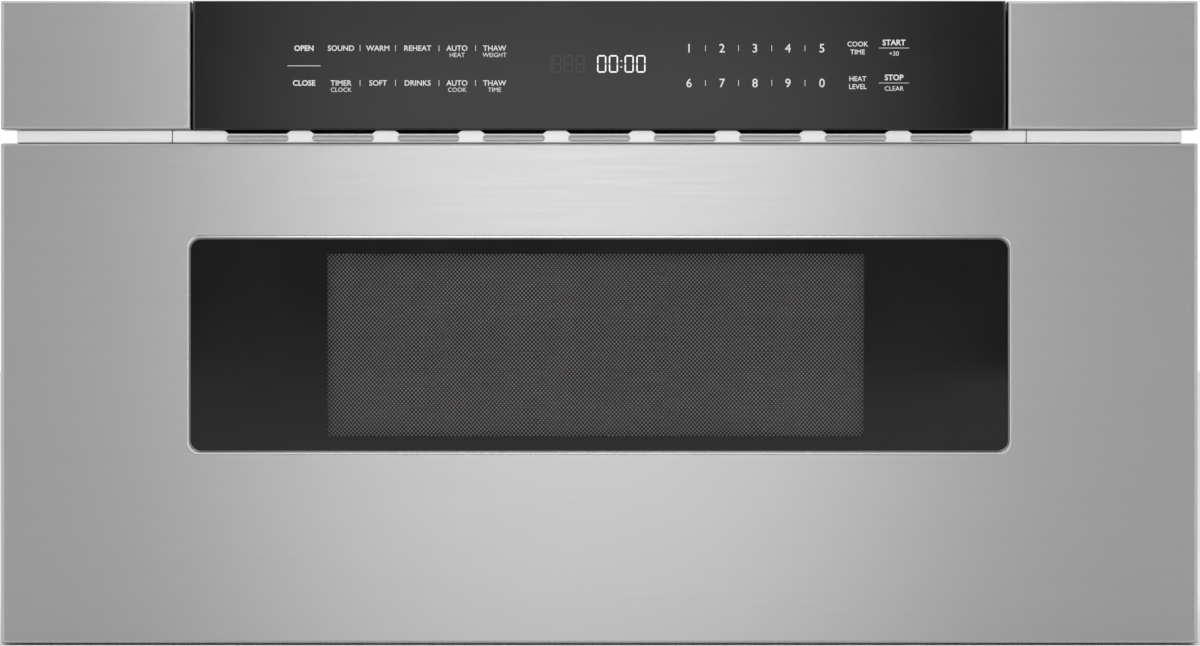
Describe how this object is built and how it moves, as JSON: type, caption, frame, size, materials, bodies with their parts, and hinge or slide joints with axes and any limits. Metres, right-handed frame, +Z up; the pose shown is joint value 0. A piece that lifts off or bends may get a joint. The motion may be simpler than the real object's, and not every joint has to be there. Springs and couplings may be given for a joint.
{
  "type": "microwave drawer",
  "caption": "Built-in microwave drawer with a flush touch-control band above, a dark perforated window in a brushed steel pull-out front, and a steel case behind.",
  "frame": {"origin": "middle of the footprint, on the plane the base plate rests on", "axes": "+X to the user's right, +Y from the face to the back, +Z up"},
  "size_m": [0.76, 0.592, 0.4085],
  "materials": {
    "brushed_stainless": "fine horizontal brushing",
    "bright_trim": "polished",
    "reveal_stainless": "bright brushed",
    "black_glass": "gloss, printed black on the back",
    "window_glass": "gloss, dark tint",
    "black_screen": "satin black enamel",
    "door_enamel": "satin dark enamel",
    "window_film": "pale translucent film",
    "cover_plastic": "fine grain",
    "rubber": "matt",
    "tub_plastic": "satin",
    "ceramic": "opal glass-ceramic",
    "zinc_steel": "zinc-plated",
    "galvanised": "galvanised, faint spangle",
    "gear_steel": "machined, greased",
    "rack_plastic": "natural acetal",
    "motor_plastic": "glass-filled nylon",
    "circuit_board": "solder mask",
    "display_black": "satin",
    "cable_grey": "ribbed",
    "cavity_enamel": "light grey enamel with fine speckle",
    "mica": "satin mica",
    "aluminium": "mill finish",
    "lamination_steel": "varnished laminations",
    "copper_winding": "enamelled copper wire",
    "capacitor_can": "plain can",
    "fan_plastic": "moulded",
    "switch_plastic": "moulded",
    "plunger_plastic": "moulded",
    "screw_steel": "bright zinc",
    "bush_plastic": "moulded nylon"
  },
  "bodies": {
    "cabinet": {"outer_rails": "zinc_steel", "rail_brackets": "galvanised", "gear_motor": "motor_plastic", "front_frame": "galvanised", "vent_rail": "reveal_stainless", "reveal_strips": "reveal_stainless", "left_wing": "brushed_stainless", "right_wing": "brushed_stainless", "control_glass": "black_glass", "control_housing": "motor_plastic", "touch_board": "circuit_board", "display_module": "display_black", "power_board": "circuit_board", "ribbon_cable": "cable_grey", "outer_wrap": "galvanised", "base_plate": "galvanised", "back_panel": "galvanised", "case_screws": "screw_steel", "cord_bush": "bush_plastic", "cavity_wrap": "cavity_enamel", "cavity_roof": "cavity_enamel", "cavity_back": "cavity_enamel", "cavity_supports": "galvanised", "stirrer_cover": "mica", "stirrer_motor": "zinc_steel", "waveguide": "galvanised", "exhaust_duct": "galvanised", "oven_lamp": "galvanised", "magnetron": "zinc_steel", "transformer_core": "lamination_steel", "transformer_coils": "copper_winding", "hv_capacitor": "capacitor_can", "noise_filter": "circuit_board", "cooling_fan_frame": "fan_plastic", "interlock_switches": "switch_plastic", "interlock_brackets": "galvanised"},
    "drawer": {"drawer_skin": "brushed_stainless", "window_bezel": "bright_trim", "window_glass": "window_glass", "perforated_screen": "black_screen", "door_pan": "door_enamel", "window_film": "window_film", "choke_cover": "cover_plastic", "bumpers": "rubber", "drawer_tub": "tub_plastic", "ceramic_floor": "ceramic", "drawer_arms": "zinc_steel", "inner_rails": "zinc_steel", "drive_rack": "rack_plastic", "latch_hooks": "cover_plastic"},
    "left_middle": {"left_middle_rail": "zinc_steel"},
    "right_middle": {"right_middle_rail": "zinc_steel"},
    "outer_cages": {"outer_ball_cages": "gear_steel"},
    "inner_cages": {"inner_ball_cages": "gear_steel"},
    "pinion": {"drive_pinion": "gear_steel"},
    "fan": {"cooling_fan_rotor": "fan_plastic"},
    "stirrer": {"stirrer_blade": "aluminium"},
    "left_plunger": {"left_switch_plunger": "plunger_plastic"},
    "right_plunger": {"right_switch_plunger": "plunger_plastic"}
  },
  "joints": [
    {"name": "drawer_slide", "type": "slide", "parent": "cabinet", "child": "drawer", "axis": [0, -1, 0], "range_m": [0, 0.381]},
    {"name": "left_middle_slide", "type": "slide", "parent": "cabinet", "child": "left_middle", "axis": [0, -1, 0], "range_m": [0, 0.191]},
    {"name": "right_middle_slide", "type": "slide", "parent": "cabinet", "child": "right_middle", "axis": [0, -1, 0], "range_m": [0, 0.191]},
    {"name": "outer_cage_slide", "type": "slide", "parent": "cabinet", "child": "outer_cages", "axis": [0, -1, 0], "range_m": [0, 0.0955]},
    {"name": "inner_cage_slide", "type": "slide", "parent": "cabinet", "child": "inner_cages", "axis": [0, -1, 0], "range_m": [0, 0.286]},
    {"name": "pinion_spin", "type": "hinge", "parent": "cabinet", "child": "pinion", "pos_m": [0, -0.241, 0.0345], "axis": [1, 0, 0], "range_deg": [-10, 1640]},
    {"name": "cooling_fan_spin", "type": "hinge", "parent": "cabinet", "child": "fan", "pos_m": [-0.15, 0.276, 0.2], "axis": [0, -1, 0], "continuous": true},
    {"name": "stirrer_spin", "type": "hinge", "parent": "cabinet", "child": "stirrer", "pos_m": [0, -0.0563, 0.2926], "axis": [0, 0, 1], "continuous": true},
    {"name": "left_plunger_press", "type": "slide", "parent": "cabinet", "child": "left_plunger", "axis": [0, 1, 0], "range_m": [0, 0.0012], "stiffness_N_per_m": 300},
    {"name": "right_plunger_press", "type": "slide", "parent": "cabinet", "child": "right_plunger", "axis": [0, 1, 0], "range_m": [0, 0.0012], "stiffness_N_per_m": 300}
  ],
  "couplings": [
    {"joint": "left_middle_slide", "follows": "drawer_slide", "ratio": 0.5},
    {"joint": "right_middle_slide", "follows": "drawer_slide", "ratio": 0.5},
    {"joint": "outer_cage_slide", "follows": "drawer_slide", "ratio": 0.25},
    {"joint": "inner_cage_slide", "follows": "drawer_slide", "ratio": 0.75},
    {"joint": "pinion_spin", "follows": "drawer_slide", "rad_per_m": 74.074}
  ]
}
